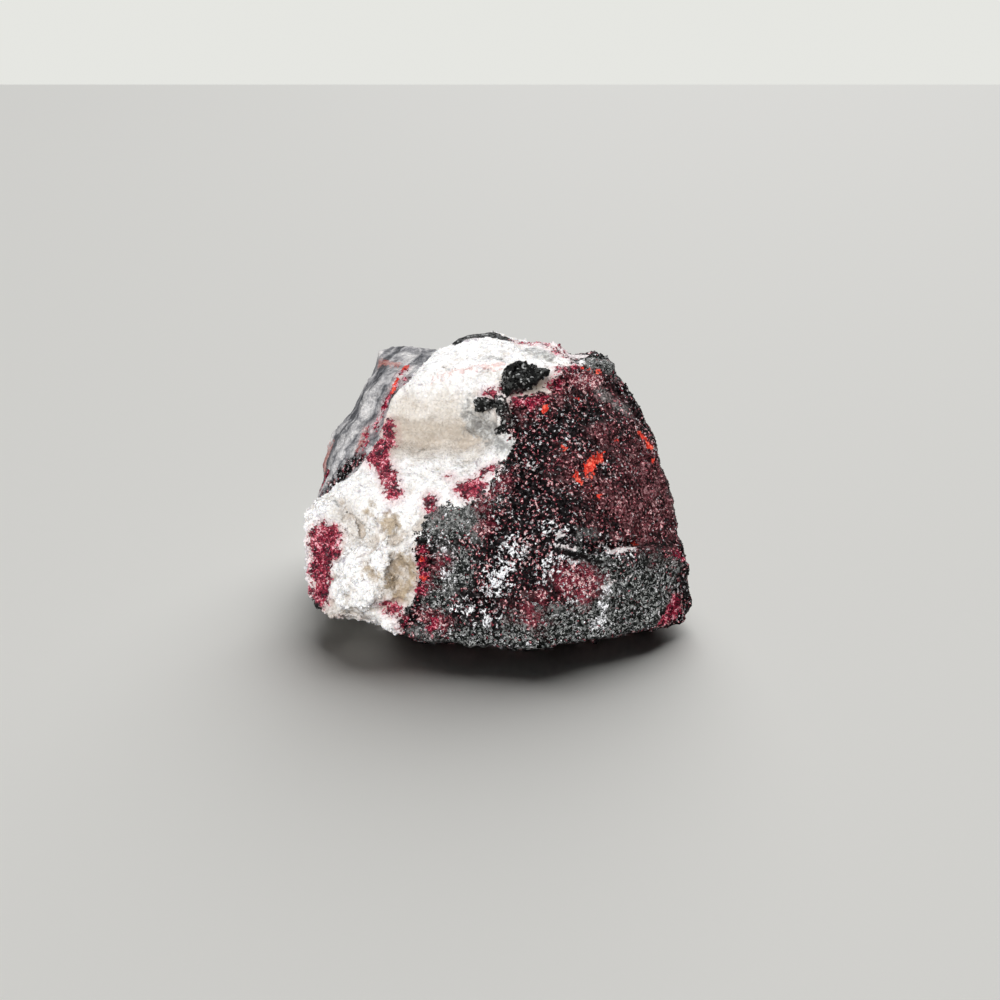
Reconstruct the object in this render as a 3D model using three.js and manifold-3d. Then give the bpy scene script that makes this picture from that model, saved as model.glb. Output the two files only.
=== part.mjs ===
// A hand specimen of cinnabar: dark matrix rock with a white vein across its upper left,
// red cinnabar along the contacts and a striped grey slab at the back left.
// It is one natural piece of stone, so the part is one closed solid.
// Millimetres, +Z up, front toward -Y. The origin is the middle of its box's underside.

import * as THREE from 'three';
import { ConvexGeometry } from 'three/addons/geometries/ConvexGeometry.js';
import { ConvexHull } from 'three/addons/math/ConvexHull.js';
import { ImprovedNoise } from 'three/addons/math/ImprovedNoise.js';
import { TessellateModifier } from 'three/addons/modifiers/TessellateModifier.js';
import { mergeVertices } from 'three/addons/utils/BufferGeometryUtils.js';
import Module from 'manifold-3d';

// Size of the whole stone.
const stoneWidth = 49;
const stoneDepth = 42.5;
const stoneHeight = 34;

// Faceting and surface relief.
const longestEdge = 2.2;
const splitPasses = 12;
const coarseRelief = 0.7;
const coarsePitch = 5;
const fineRelief = 0.35;
const finePitch = 1.9;

// Every corner is seen from this point inside the stone, and the relief pushes away from it.
const heart = new THREE.Vector3(0, 2, 14);

// Corners of the broken surface, [x, y, z], region by region.

// Crest along the top, from the white vein on the left to the dark peak on the right.
const crest = [
  [-7.5, 3, 32.6], [-5.3, 5, 33.7], [-1.3, 7, 34], [1.4, 7, 33.3], [6, 6, 33.1], [9, 5, 32.1],
  [12.5, 6, 31.7], [14, 3, 32.4],
];

// White brow: the left edge of the upper vein, its rounded top edge and its shaded front.
const brow = [
  [-9.2, 1, 31.7], [-10.9, -1.5, 30.5], [-12, -3, 29.5], [-13, -3.5, 28.2], [-13.6, -4, 26.8],
  [-14.1, -4.5, 25.4], [-10, -4, 30.4], [-7.2, -3.8, 31.5], [-3.6, -3.7, 32.2], [0, -3.2, 32.4],
  [5.4, -2, 31.9], [9.6, 0, 31.3], [-10, -5.3, 27], [-5, -5.4, 27.6], [-0.2, -6, 27],
];

// Crease under the brow, and the white shelf that slopes forward from it.
const shelf = [
  [-14.6, -4.5, 23.4], [-12.5, -5, 23.3], [-9.7, -5, 23.1], [-6, -5, 23.3], [-1.8, -5.5, 23.7],
  [-16.1, -5, 21.4], [-17.2, -6, 20], [-18.9, -8, 19.2], [-10, -8.8, 21.4], [-4, -8.8, 21.4],
  [-14, -12, 18.9], [-8, -12.6, 18.9], [-3.5, -12.6, 18.8], [0, -10.3, 21.4], [-5, -14.2, 15.8],
];

// Dark matrix: the broad face that leans back from the ledge to the peak.
const matrixFace = [
  [15.2, 1, 29.2], [17.3, -1, 26], [18.9, -3, 22], [20.5, -4.5, 18], [22.1, -6, 14.5],
  [21.8, -7.5, 12.4], [6, -5, 28.6], [1.2, -5.6, 28.6], [11, -2.5, 28.4], [7, -9.5, 23.9],
  [1.5, -7.4, 25.4], [13.5, -6.8, 23], [7, -13, 19.1], [14.2, -10.3, 18], [0, -15.2, 14.8],
];

// Ledge across the lower right: the edge above it, its inner corner and its lip.
const ledge = [
  [6.4, -15.6, 15.3], [12.2, -13.6, 14], [17, -10.9, 12.9], [8, -15.9, 14.5], [12.2, -14, 13.2],
  [16.5, -11.8, 12.5], [21, -8.2, 11.7], [7.4, -17, 14.3], [10.3, -16, 13.4], [13, -15, 12.8],
  [16.5, -13, 12.2], [19.8, -11, 11.2], [22.5, -9.4, 9.8],
];

// Foot below the ledge, with the overhanging lower edge.
const foot = [
  [23.6, -9.5, 5.5], [23.9, -9.5, 3.3], [23, -11, 1.7], [19.5, -14, 3], [17, -15, 2.8],
  [12, -17, 3.1], [7, -18.3, 3.2], [3, -19, 3], [-2.5, -18.5, 3.2], [-6, -18, 3.5],
  [-10.4, -17, 3], [5, -19, 9.3], [-1, -18.4, 9], [-6, -16.6, 10.5], [-9.3, -15.6, 12.2],
  [-9.1, -16.6, 8.7], [14, -16, 9], [18.8, -13.6, 7.5],
];

// Sugary lump at the lower left: an upper band, the pits along it, and a lower lobe.
const lump = [
  [-23, -7, 16.6], [-19.8, -9, 17.7], [-19, -9, 18.2], [-17.7, -11, 17.6], [-14.9, -12.4, 18],
  [-24, -8, 14.8], [-20.1, -11, 15.9], [-18.2, -11.3, 15.4], [-15.2, -13.2, 15.8],
  [-12, -13.8, 16.3], [-9.8, -14, 16], [-17.7, -12.8, 13.5], [-14.2, -13.8, 14.4],
  [-11.3, -14, 14.5], [-17.4, -14.6, 12.8], [-14, -15.8, 13.9], [-11.3, -15.4, 13.7],
  [-19.5, -13.3, 10.9], [-20.6, -13, 7.1], [-16.6, -16, 11.2], [-18.1, -15.8, 8.9],
  [-13.6, -16.6, 11.2], [-15.1, -16.8, 8.1], [-12.6, -16.6, 7.6], [-11.2, -15.1, 11.4],
  [-10.7, -15.6, 9.7], [-21, -10.8, 12.3],
  [-22.3, -10.8, 9], [-24.1, -9, 11], [-24.1, -10, 7.2], [-23.6, -10.8, 4.8], [-19, -14.6, 5.8],
  [-20.5, -13.5, 4], [-17.4, -14.2, 3.7], [-15.3, -14.8, 4.2], [-13.3, -16, 3.6],
];

// Striped slab at the back left: its rim, its face and the groove between it and the vein.
const slab = [
  [-24.6, 3, 11.5], [-25, 10, 11], [-24.8, 12, 14.5], [-23.4, 14, 18.2], [-20.7, 15, 21.3],
  [-18.4, 17, 24.9], [-16.8, 19.5, 28.2], [-14.2, 20.5, 28.6], [-10.5, 18.5, 29.1],
  [-8.8, 6, 29], [-10.4, 5, 27], [-11.8, 4, 25], [-13.2, 3, 22.6], [-14.6, 2, 19.8],
  [-16, 0, 17.6], [-18, -2.5, 16.2], [-20.4, -4.5, 15.2], [-15.5, 10, 27.2], [-19, 8, 22],
  [-22, 4, 17], [-23.5, 8, 4.5],
];

// Broken back, which falls away behind the crest.
const back = [
  [-5, 12, 30.2], [2, 13, 30], [9, 12, 29], [-8, 17, 28.6], [-3, 19.5, 25], [4, 18.5, 25.5],
  [5, 21, 22.5], [12, 16, 23.5], [12.5, 18, 20], [17, 12.5, 17], [14, 17.5, 9], [3, 23.2, 13],
  [4, 21.5, 16.5], [-6, 22, 19], [-9, 22.5, 14], [-16, 19.5, 18], [-17, 18.5, 11], [17, 8, 25],
  [20, 4.5, 17.5], [18.6, 9, 15], [21, 2, 9], [19.5, 9.5, 8],
];

// Underside: the flat patch that the stone rests on, and the slopes around it.
const underside = [
  [-12, -7, -1], [-3, -11, -1], [9, -11, -1], [16, -7, -1], [17, 3, -1], [12, 12, -1],
  [2, 16, -1], [-9, 14, -1], [-14, 4, -1], [0, 2, -1], [21, 2, 3], [18, 11, 3.5], [8, 20, 4],
  [-7, 21, 4.5], [-18, 14, 3.5],
];

const corners = [
  crest, brow, shelf, matrixFace, ledge, foot, lump, slab, back, underside,
].flat();

// Black hornstone knobs that stand out of the vein below the crest.
const largeKnob = [
  [0.5, -4.8, 32], [1.4, -4, 32.8], [2.6, -3.6, 33], [4.1, -3.8, 32.5], [5.7, -4.6, 32],
  [4.5, -5.4, 31.2], [3.3, -5.9, 30.3], [1.4, -6, 30.4], [0.5, -5.9, 29.4], [2.2, -6.1, 31.7],
  [4.5, -1, 30], [0.5, -1, 30],
];
const leftKnob = [
  [-3.5, -6.5, 28.9], [-2.8, -6.3, 29.4], [-1.2, -6.2, 29.4], [-0.6, -6.6, 28.7],
  [-1.6, -6.9, 27.8], [-2.9, -6.7, 27.6], [-3, -3, 28.5], [-0.8, -3, 28.5],
];
const lowKnob = [
  [-0.1, -6.4, 29.2], [0.9, -6.6, 28.6], [1.3, -7.2, 26.2], [0.5, -7.3, 24.9], [-0.4, -6.9, 26.8],
  [0, -4, 28], [0.5, -4, 25.5],
];
const knobs = [largeKnob, leftKnob, lowKnob];

// Crack in the ledge's inner corner: a thin wedge that deepens toward the right edge.
const ledgeCrack = [
  [7, -17, 14.9], [7, -17, 14.7], [12.2, -15, 13.8], [12.2, -15, 13.2], [23.5, -8, 12],
  [23.5, -8, 11.5], [11, -13, 13.6], [21, -6.5, 11.8],
];

// Hollows in the sugary lump, [x, y, z, radius].
const hollows = [
  [-11.4, -16.7, 11.6, 1.6], [-12.2, -17.4, 9.4, 1.2], [-18.4, -12.3, 14.6, 1],
  [-12.4, -14.6, 16.6, 1],
];
const hollowSegments = 10;

// The ground that the stone is cut flat against.
const groundSize = 80;
const groundThickness = 10;

const wasm = await Module();
wasm.setup();

// A closed geometry becomes a solid that can be joined and cut.
function toSolid(geometry) {
  const bare = geometry.index ? geometry.toNonIndexed() : geometry.clone();
  bare.deleteAttribute('normal');
  bare.deleteAttribute('uv');
  const merged = mergeVertices(bare);
  return new wasm.Manifold(new wasm.Mesh({
    numProp: 3,
    vertProperties: new Float32Array(merged.attributes.position.array),
    triVerts: new Uint32Array(merged.index.array),
  }));
}

// A solid becomes a geometry again.
function toGeometry(solid) {
  const mesh = solid.getMesh();
  const geometry = new THREE.BufferGeometry();
  geometry.setAttribute('position', new THREE.BufferAttribute(mesh.vertProperties, 3));
  geometry.setIndex(new THREE.BufferAttribute(mesh.triVerts, 1));
  return geometry;
}

// One closed surface through all the corners: neighbours as seen from the heart are joined.
function brokenSurface() {
  const cornerSeen = new Map();
  for (const [x, y, z] of corners) {
    const corner = new THREE.Vector3(x, y, z);
    cornerSeen.set(corner.clone().sub(heart).normalize(), corner);
  }
  const directions = new ConvexHull().setFromPoints([...cornerSeen.keys()]);
  const points = [];
  for (const face of directions.faces) {
    let edge = face.edge;
    do {
      points.push(cornerSeen.get(edge.head().point));
      edge = edge.next;
    } while (edge !== face.edge);
  }
  return new THREE.BufferGeometry().setFromPoints(points);
}

// The convex solid around a short list of corners.
function lumpAround(points) {
  return toSolid(new ConvexGeometry(points.map((point) => new THREE.Vector3(...point))));
}

function hollowBall([x, y, z, radius]) {
  const ball = new THREE.SphereGeometry(radius, hollowSegments, hollowSegments / 2);
  return toSolid(ball.translate(x, y, z));
}

const noise = new ImprovedNoise();

function relief(point, height, pitch) {
  return height * noise.noise(point.x / pitch, point.y / pitch, point.z / pitch);
}

// Breaks the flat facets up: each point moves out from the heart, or in toward it.
function roughen(geometry) {
  const position = geometry.attributes.position;
  const point = new THREE.Vector3();
  const outward = new THREE.Vector3();
  for (let i = 0; i < position.count; i += 1) {
    point.fromBufferAttribute(position, i);
    outward.subVectors(point, heart).normalize();
    const push = relief(point, coarseRelief, coarsePitch) + relief(point, fineRelief, finePitch);
    point.addScaledVector(outward, push);
    position.setXYZ(i, point.x, point.y, point.z);
  }
  return geometry;
}

// Scales the stone to its size, with its origin at the middle of its box's underside.
function fit(geometry) {
  geometry.computeBoundingBox();
  const box = geometry.boundingBox;
  const size = box.getSize(new THREE.Vector3());
  const centre = box.getCenter(new THREE.Vector3());
  geometry.translate(-centre.x, -centre.y, -box.min.z);
  geometry.scale(stoneWidth / size.x, stoneDepth / size.y, stoneHeight / size.z);
  return geometry;
}

const splitter = new TessellateModifier(longestEdge, splitPasses);
const body = toSolid(roughen(splitter.modify(brokenSurface())));
const knobbed = knobs.map(lumpAround).reduce((stone, knob) => stone.add(knob), body);
const cracked = knobbed.subtract(lumpAround(ledgeCrack));
const pitted = hollows.map(hollowBall).reduce((stone, ball) => stone.subtract(ball), cracked);
const ground = new THREE.BoxGeometry(groundSize, groundSize, groundThickness);
ground.translate(0, 0, -groundThickness / 2);
const rested = pitted.subtract(toSolid(ground));

const stone = new THREE.Mesh(
  fit(toGeometry(rested)),
  new THREE.MeshStandardMaterial({ color: 0x4a3c3e, roughness: 0.75, metalness: 0 }),
);
stone.name = 'cinnabar_specimen';

const specimen = new THREE.Group();
specimen.add(stone);

export default specimen;
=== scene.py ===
import math

import bpy
import numpy as np
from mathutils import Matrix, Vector
from mathutils.kdtree import KDTree


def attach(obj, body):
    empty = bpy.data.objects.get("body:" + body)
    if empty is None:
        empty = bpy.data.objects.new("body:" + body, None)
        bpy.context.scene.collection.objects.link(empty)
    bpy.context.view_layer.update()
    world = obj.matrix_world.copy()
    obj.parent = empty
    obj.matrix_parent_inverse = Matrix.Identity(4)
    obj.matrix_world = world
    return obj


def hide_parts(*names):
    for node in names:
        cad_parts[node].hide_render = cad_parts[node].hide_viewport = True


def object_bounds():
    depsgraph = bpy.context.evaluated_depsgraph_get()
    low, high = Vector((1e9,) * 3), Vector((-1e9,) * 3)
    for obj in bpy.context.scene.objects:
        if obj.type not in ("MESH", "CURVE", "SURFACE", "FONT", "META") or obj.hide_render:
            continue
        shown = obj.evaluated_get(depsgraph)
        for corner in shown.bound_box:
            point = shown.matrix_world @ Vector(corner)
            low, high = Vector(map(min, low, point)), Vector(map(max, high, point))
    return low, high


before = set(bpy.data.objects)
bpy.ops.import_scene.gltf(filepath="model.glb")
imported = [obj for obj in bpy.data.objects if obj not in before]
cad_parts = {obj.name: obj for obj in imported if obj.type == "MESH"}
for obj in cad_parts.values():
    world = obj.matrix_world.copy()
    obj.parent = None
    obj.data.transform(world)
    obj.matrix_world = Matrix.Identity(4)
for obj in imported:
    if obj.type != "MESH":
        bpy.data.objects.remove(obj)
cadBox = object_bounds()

# A cinnabar hand specimen: dark matrix, a white vein with red cinnabar, and a striped slab behind it.
# Metres, in the CAD frame. Zones, reliefs and crystals are given in millimetres and turned to metres by mm.

mm = 0.001
leastLength = 1e-9    # keeps a stroke of one place from dividing by zero


def deselectAll():
    bpy.ops.object.select_all(action="DESELECT")


def makeActive(piece):
    deselectAll()
    piece.select_set(True)
    bpy.context.view_layer.objects.active = piece


def applyModifier(piece, kind, **settings):
    makeActive(piece)
    modifier = piece.modifiers.new(kind.lower(), kind)
    for name, value in settings.items():
        setattr(modifier, name, value)
    bpy.ops.object.modifier_apply(modifier=modifier.name)


def readVectors(piece, name):
    values = np.empty(len(piece.data.vertices) * 3)
    piece.data.vertices.foreach_get(name, values)
    return values.reshape(-1, 3)


def pointsOf(piece):
    return readVectors(piece, "co") / mm


def normalsOf(piece):
    return readVectors(piece, "normal")


# Clips points to the CAD box, in mm.
def keepInBox(points):
    low, high = (np.array(corner) / mm for corner in cadBox)
    return np.clip(points, low, high)


# From 0 at low to 1 at high, with soft ends.
def smooth(low, high, value):
    share = np.clip((value - low) / (high - low), 0, 1)
    return share * share * (3 - 2 * share)


# How far points lie from a line that runs through some places.
def awayFrom(points, places):
    places = [np.array(place, float) for place in places]
    nearest = np.full(len(points), np.inf)
    for start, end in zip(places, places[1:] or places):
        along = end - start
        share = np.clip((points - start) @ along / max(along @ along, leastLength), 0, 1)
        away = np.linalg.norm(points - start - share[:, None] * along, axis=1)
        nearest = np.minimum(nearest, away)
    return nearest


# How far points lie inside a zone, in mm. A zone is a list of strokes: radius, then places.
def insideZone(points, strokes):
    return np.max([radius - awayFrom(points, places) for radius, *places in strokes], axis=0)


# How far points lie to the left of a line drawn down the front, in mm.
def leftOfLine(points, line):
    flat = points[:, [0, 2]]
    away = awayFrom(flat, line)
    line = np.array(line, float)
    order = np.argsort(line[:, 1])
    edge = np.interp(flat[:, 1], line[order, 1], line[order, 0])
    return np.where(flat[:, 0] < edge, away, -away)


contacts = {
    # Edge between the white vein and the dark matrix, seen from the front: x, z.
    "vein": [(12.6, 34), (12.2, 32.3), (9.8, 31.6), (7.6, 31), (6.6, 29.6), (2.2, 28.6), (1.2, 26.5),
             (1, 25.4), (2, 24.6), (1.9, 23.4), (0.2, 21.6), (-0.6, 20), (-2, 18.8), (-6.5, 18.3),
             (-8, 16.8), (-9, 15), (-9.2, 13.5), (-8.8, 10.5), (-9.4, 7.6), (-10.4, 6), (-10.8, 4.8),
             (-10.9, 3.6), (-12.6, 2.4), (-14, 0)],
    # Groove between the vein and the slab, from top to foot: x, y, z.
    "slab": [(-7.6, 3.4, 32), (-8, 3.4, 29), (-9.4, 2, 27), (-11, 1.4, 25), (-12.4, 0.6, 22.6),
             (-13.6, -0.8, 19.8), (-15, -2.6, 17.6), (-17.4, -4.6, 16.2), (-20, -6.4, 15), (-22, -6.4, 12),
             (-20, -6, 5), (-18, -5, 0)],
}


slabLean = 0.8    # the groove's far wall leans, so a step back counts for less


# How far points lie in the slab, behind its groove, in mm.
def slabDepth(points):
    groove = np.array(contacts["slab"])
    depth = np.interp(points[:, 2], groove[::-1, 2], groove[::-1, 1])
    behind = (points[:, 1] - depth) * slabLean
    return np.minimum(leftOfLine(points, groove[:, [0, 2]]), behind)


# Patches and marks of each kind, as strokes in mm.
zones = {
    # the vein's cream tint, and on the brow's down-turned front face also painted shade
    "cream": [
        (1.6, (-11, -6, 27), (-5, -7.2, 27.5)), (2.4, (-11, -6.8, 25), (-3, -7.6, 25)),
        (1.2, (4.4, -6.7, 29.4), (5.8, -5.2, 30.3)), (2.4, (-6, 18.6, 20), (-8, 18.6, 15)),
        (2.2, (-14, 16.8, 9), (-12, 17, 5)),
    ],
    # painted shade: under the brow, in the lump's pits and hollows, and along the lump's lower edge
    "shade": [
        (1.8, (-12, -7.2, 23.2), (-9, -7.4, 23)), (1, (-9, -7.4, 23.4), (-1.6, -8, 24.4)),
        (0.8, (-0.8, -8, 26), (0.4, -8.4, 27)), (1.3, (-19.6, -15.6, 4.2), (-16, -16.8, 4)),
        (1.2, (-17.8, -13.4, 16.8), (-17, -13.9, 16), (-16, -14.4, 14.8)),
        (0.8, (-11.2, -17.9, 11.6), (-11.6, -18, 9.2)), (0.6, (-12.8, -18.4, 7.9)),
        (1.1, (-10.4, -17.8, 10.8), (-10.3, -18.2, 8.4)), (0.5, (-10.8, -16.6, 14.4)),
        (0.5, (-17.5, -13.5, 16.6), (-16.2, -14.6, 14.9)), (0.8, (-10.6, -17.5, 10.7), (-10.3, -17.8, 9)),
        (0.8, (-12, -18.1, 8.9), (-11.5, -18.4, 7.8)),
    ],
    "crimson": [
        (0.9, (-13, -6.6, 25), (-12.8, -6.7, 23.4), (-13.6, -7.2, 22)), (1.3, (-13.8, -7.2, 22.4)),
        (0.9, (-15, -7.5, 21.5), (-13.4, -8.8, 21.2), (-12.3, -12.2, 20.3), (-11.7, -14, 19.4)),
        (1.3, (-3.3, -13.6, 19.7), (-2.2, -13.5, 19.9)), (0.4, (-1.6, -12.3, 21.2), (0.2, -11.8, 21.8)),
        (0.35, (-5.3, -11.9, 20.6)), (0.6, (-7.4, -14.6, 19.1), (-7.4, -15.3, 18)),
        (1.8, (-19.8, -12.8, 13.4), (-21, -12, 12.2), (-20.8, -12.6, 10)),
        (1.5, (-21.5, -13, 8.6), (-21, -14.2, 7), (-21.4, -14, 5.8)), (1.4, (-19.6, -13.3, 11.6)),
        (0.5, (-22.6, -12.7, 6.2), (-22.4, -13.2, 5.2)),
        (0.4, (-8.3, -17.4, 13.6), (-8.3, -17.6, 12.6), (-8, -18.2, 11), (-8.6, -18.5, 8.8)),
        (0.35, (-5.4, -17.7, 12.8)), (0.8, (-12.8, -17.9, 6.6), (-11.6, -18.3, 6.4)),
        (0.4, (-10.6, -18.7, 5.6), (-11, -18.6, 4.4)), (0.5, (-7.1, -19.4, 5.7), (-7.3, -19.5, 4.2)),
        (1.1, (21.6, -13.8, 5), (21.2, -14.3, 4)), (0.6, (22.2, -13.5, 3.6), (20.2, -15.6, 3.6)),
        (0.4, (22.8, -11.9, 10.2), (21.4, -12.6, 11), (20.4, -13, 11)),
        (0.7, (2.5, -7.5, 28.7), (4.2, -7.6, 28.4), (5.5, -7.2, 28.6)),
        (0.5, (7.5, -5.4, 29.7), (7.9, -4, 30.6)), (0.5, (-0.8, -7.1, 29.2), (0, -7, 29.4)),
        (0.35, (8.2, 3.2, 32.7), (9.6, 1.2, 32.2)), (0.35, (2.5, 4.2, 33), (4.4, 3.9, 32.8), (6.5, 3, 32.8)),
        (0.35, (6.3, 2.7, 32.7), (8.1, 0.9, 32.4), (9.2, 0, 32)), (0.3, (7.4, -4.3, 30.5), (6.4, -5.4, 30)),
        (0.4, (7.7, -3.5, 31.3), (9.8, -2.6, 31.3)), (0.3, (-12.3, 5.5, 27.1), (-11.8, 5.2, 27.4)),
        (0.2, (-18.8, -16, 3.5), (-17, -16.6, 3.4), (-15.6, -16.9, 3.6)),
        (0.35, (-12, 7.8, 28.2), (-12.9, 5.6, 26.8), (-14.1, 4.6, 24.9), (-15.3, 3.2, 23),
         (-15.8, 2.6, 21.6)), (0.3, (-16.6, 3.6, 21.4), (-17.2, 2.8, 20)),
        (0.25, (-17.4, 1.4, 18.8), (-17, 2.2, 19.8)), (1.1, (-23.3, 5.6, 12.6), (-23.2, 5.6, 13.8)),
        (0.7, (-11, 17.6, 24), (-9, 18, 22)), (0.8, (-3, 19.4, 20.6), (-1, 19.9, 17), (0, 20, 14)),
        (0.8, (-11.8, 17.8, 12.8), (-10.6, 18, 10), (-11.4, 17.4, 8)),
        (0.5, (-4, 18, 22.4), (-6, 18.2, 19.4)), (0.5, (-15, 16, 5), (-13.4, 16.4, 3.6)),
        (0.6, (0.6, 14, 28), (1.2, 16.4, 25)), (0.7, (21.8, 5, 8), (20.6, 8, 6)),
        (0.6, (-2, 8, 32), (-3.4, 11, 30)), (0.7, (-24, 2, 10), (-23.8, -1, 8)),
    ],
    "rose": [
        (1.6, (8, -19.8, 11.2), (10, -19.2, 11.2), (11.2, -18.9, 10.2)), (1, (10, -19.9, 9)),
        (0.6, (3.5, -20.7, 7.8), (4.4, -21, 6.7)), (0.6, (5.5, -20.9, 9.6)), (0.7, (-1.2, -16.6, 16.2)),
        (0.6, (-3.3, -11.7, 20.7)), (0.7, (-10, -6.9, 24.4), (-8.6, -7, 24.2)),
        (0.5, (-6, -17.6, 12.6), (-7.2, -18, 10)), (0.6, (-1.6, -15, 18.2), (1.4, -13.4, 21)),
        (0.8, (12, -3, 30), (8, -4, 30)), (0.7, (-8, -19, 6), (-6, -20, 5.4)),
        (1.4, (-15.8, 2.4, 21.2), (-16.6, 2.1, 19.8)), (0.9, (-23.7, 9.6, 15.4), (-23.4, 6.2, 13)),
        (1.4, (8, 18.6, 12)), (1.2, (14, 13.8, 10)), (1.3, (22.8, -4, 10)), (1.4, (20, 4, 20), (18, 8, 22)),
    ],
    "vermilion": [
        (0.6, (12.3, -10.4, 22.6), (11.2, -11.2, 22.2), (11.2, -11.9, 21.3)), (0.4, (9.7, -12.5, 21.2)),
        (0.4, (11.2, -2.3, 30.8)), (0.25, (12.4, -2.2, 30.4)), (0.4, (6, -7.7, 27.9)),
        (0.35, (17.8, -5.1, 23.7), (18.4, -5.4, 22.8), (19.1, -5.6, 22.3)), (0.3, (14.7, -7.8, 23.6)),
        (0.3, (19.4, -6.4, 20.6)), (0.2, (9.8, -5.6, 28.2)), (0.2, (9.8, -7.6, 26.4)), (0.25, (8, -11.4, 24)),
        (0.35, (2.5, -11.5, 22.8)), (0.3, (16.7, -12.7, 12.6)), (0.5, (-12, 8.2, 28.3)),
        (0.2, (-12.8, 6.2, 27.3), (-13.4, 5.2, 26)), (0.25, (-8.4, -17.4, 13)), (0.25, (-8.2, -18.2, 10.4)),
        (0.25, (9.4, -12.8, 21), (10.3, -13, 20.2)), (0.25, (11.1, -13.2, 19.6)), (0.2, (12.1, -13.5, 18.8)),
        (0.5, (6, 19, 18), (7, 18.6, 16.6)), (0.4, (15, 11.6, 22)), (0.5, (20.4, 2, 18)),
    ],
    "salmon": [
        (0.35, (-7.6, -5.6, 30.4), (-4.8, -5.5, 31.6), (-1.8, -5.5, 32.2), (0.8, -5.2, 32.3)),
        (0.6, (-16.1, 14, 27.3), (-13.3, 11.6, 28)), (0.8, (-22.6, 8, 17.4), (-23.6, 8.6, 15)),
        (0.5, (-17, 3.6, 21), (-17.6, 2, 19.2)), (0.9, (-24, 10, 17), (-23.6, 8, 14)),
    ],
    "haze": [
        (4, (18, -8, 19.6), (18.8, -10.8, 14.6)), (2.8, (13.5, -13.2, 18.3), (17.4, -12.3, 14.6)),
        (1, (13.6, -3.6, 28.2), (16.6, -5.2, 24.6)), (1.4, (12.5, -8.7, 24.1), (14.2, -8, 24)),
        (0.9, (3.6, -8.1, 27.7), (7.8, -6.1, 28.9)), (0.6, (8.5, -4.3, 30.3), (11.6, -3.5, 29.4)),
        (0.9, (14.4, -14, 15.4), (15.4, -13.4, 15.2)), (1.4, (8.6, -13, 22), (11.1, -13.2, 19.6)),
        (0.9, (3.5, -20.7, 7.8), (4.4, -21, 6.7)), (4, (8, 12, 26), (14, 12, 20)),
        (4, (16, 6, 12), (8, 18, 8)),
    ],
    "frost": [
        (1.1, (1.5, -17.6, 14.1), (2.6, -17.6, 14)),
        (1.1, (1.5, -18.6, 12.3), (0.3, -19, 11.4), (-0.5, -19.6, 10)),
        (0.5, (6, -16.8, 16.4), (7.3, -17.4, 15.8)), (0.5, (6.1, -18.8, 13.2), (6.1, -19.8, 11.6)),
        (0.5, (7.4, -19.2, 13.6), (8.8, -19.2, 13.2)), (0.5, (-6.8, -16.8, 14.4), (-5.6, -17, 13.6)),
        (0.5, (-4.2, -19.8, 7.6), (-2.8, -20.2, 7.4)), (0.4, (13.4, -16.2, 13.1), (15.9, -15.3, 12.8)),
        (0.8, (12.5, -18.8, 7.6), (12.1, -19, 5.2)), (0.7, (-0.8, -20.6, 6.4)), (0.6, (-5.5, -18.5, 10.9)),
        (0.5, (22.2, -13.2, 5.8)), (0.9, (13, -18.3, 9.4)), (1.2, (4, 18, 22), (8, 17, 18)),
        (0.8, (14, 12, 18), (16, 9, 20)),
    ],
    "slate": [
        (2.3, (-6.6, -15.8, 16.6), (-4.2, -15.8, 16.8)), (3.2, (4, -19.5, 5), (12, -18.6, 6), (19, -16, 6)),
        (2.6, (12, -17, 10), (20, -13.5, 9)), (1, (9.4, -18.7, 13.4), (12, -17.8, 12.2), (14, -17.2, 11.4)),
        (0.8, (0.2, -12, 21.6), (-0.5, -13, 20.6), (-0.9, -14.4, 18.8), (-2, -15.2, 17.6)),
        (2, (-6, -18.4, 8), (-4.4, -18, 12)), (1.8, (11.4, -0.9, 31.7), (14.1, 0.2, 31.4)),
        (1.4, (-7, -19.4, 4), (0, -20.8, 4)), (4, (10, 16, 8), (0, 20, 8)), (3, (18, 8, 8)),
    ],
    "grey": [
        (0.9, (11.7, -1.2, 31.9), (14.1, 0.2, 31.9)), (0.8, (12.8, -3.6, 28.6), (15.8, -4.4, 26.2)),
        (0.5, (9.6, -17.1, 15.6), (11.4, -15.8, 15.2)), (1.3, (-6.4, -15.8, 16.8), (-4.6, -15.8, 17)),
        (0.7, (-5, -18.8, 9.6)), (0.8, (-3, -15.5, 17.6), (-2.2, -17, 15.2)),
        (0.7, (-6.2, -17, 14), (-5.6, -17.4, 13.2)), (0.8, (12.6, -18.4, 8.8)), (0.6, (7, -20.6, 8)),
        (0.7, (-9.8, -19, 3.9), (-7.2, -19.5, 3.8)),
    ],
    # near-black painted shade in cracks and folds and under the ledge's overhang
    "crack": [
        (0.3, (7.4, -18.6, 14.4), (8.8, -18.8, 13.8)), (0.4, (8.8, -18.8, 13.8), (11, -18.2, 12.9)),
        (0.25, (11, -18.2, 12.7), (12.4, -17.6, 12.4)), (0.3, (17, -13.6, 12.9), (20.6, -12.1, 12.1)),
        (0.16, (16, -16.6, 10.4), (14.4, -17.5, 9.8), (14.2, -17.9, 8), (14.4, -18.2, 5.8)),
        (0.2, (5.9, -13.4, 20.6), (8.7, -14.6, 19), (12.3, -14.4, 16.8), (15, -13.6, 14.8)),
        (0.2, (-17.8, -13, 16.9), (-17, -13.9, 15.6)), (0.7, (-22.5, -13.3, 4.6), (-21.4, -14.3, 4.4)),
        (0.3, (-12.6, -18, 6.3)), (0.16, (-8.5, -18.4, 8.9), (-9.9, -18.6, 6.9), (-11, -18.6, 5)),
        (0.25, (22.4, -6, 14), (21.8, 0, 11), (20.2, 6, 12)), (0.25, (12, 15.4, 18), (10, 17.6, 12)),
    ],
    # pale lines on edges: partly real pale streaks, partly painted highlight on the lit lips of the ledge and
    # the crest
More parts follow.
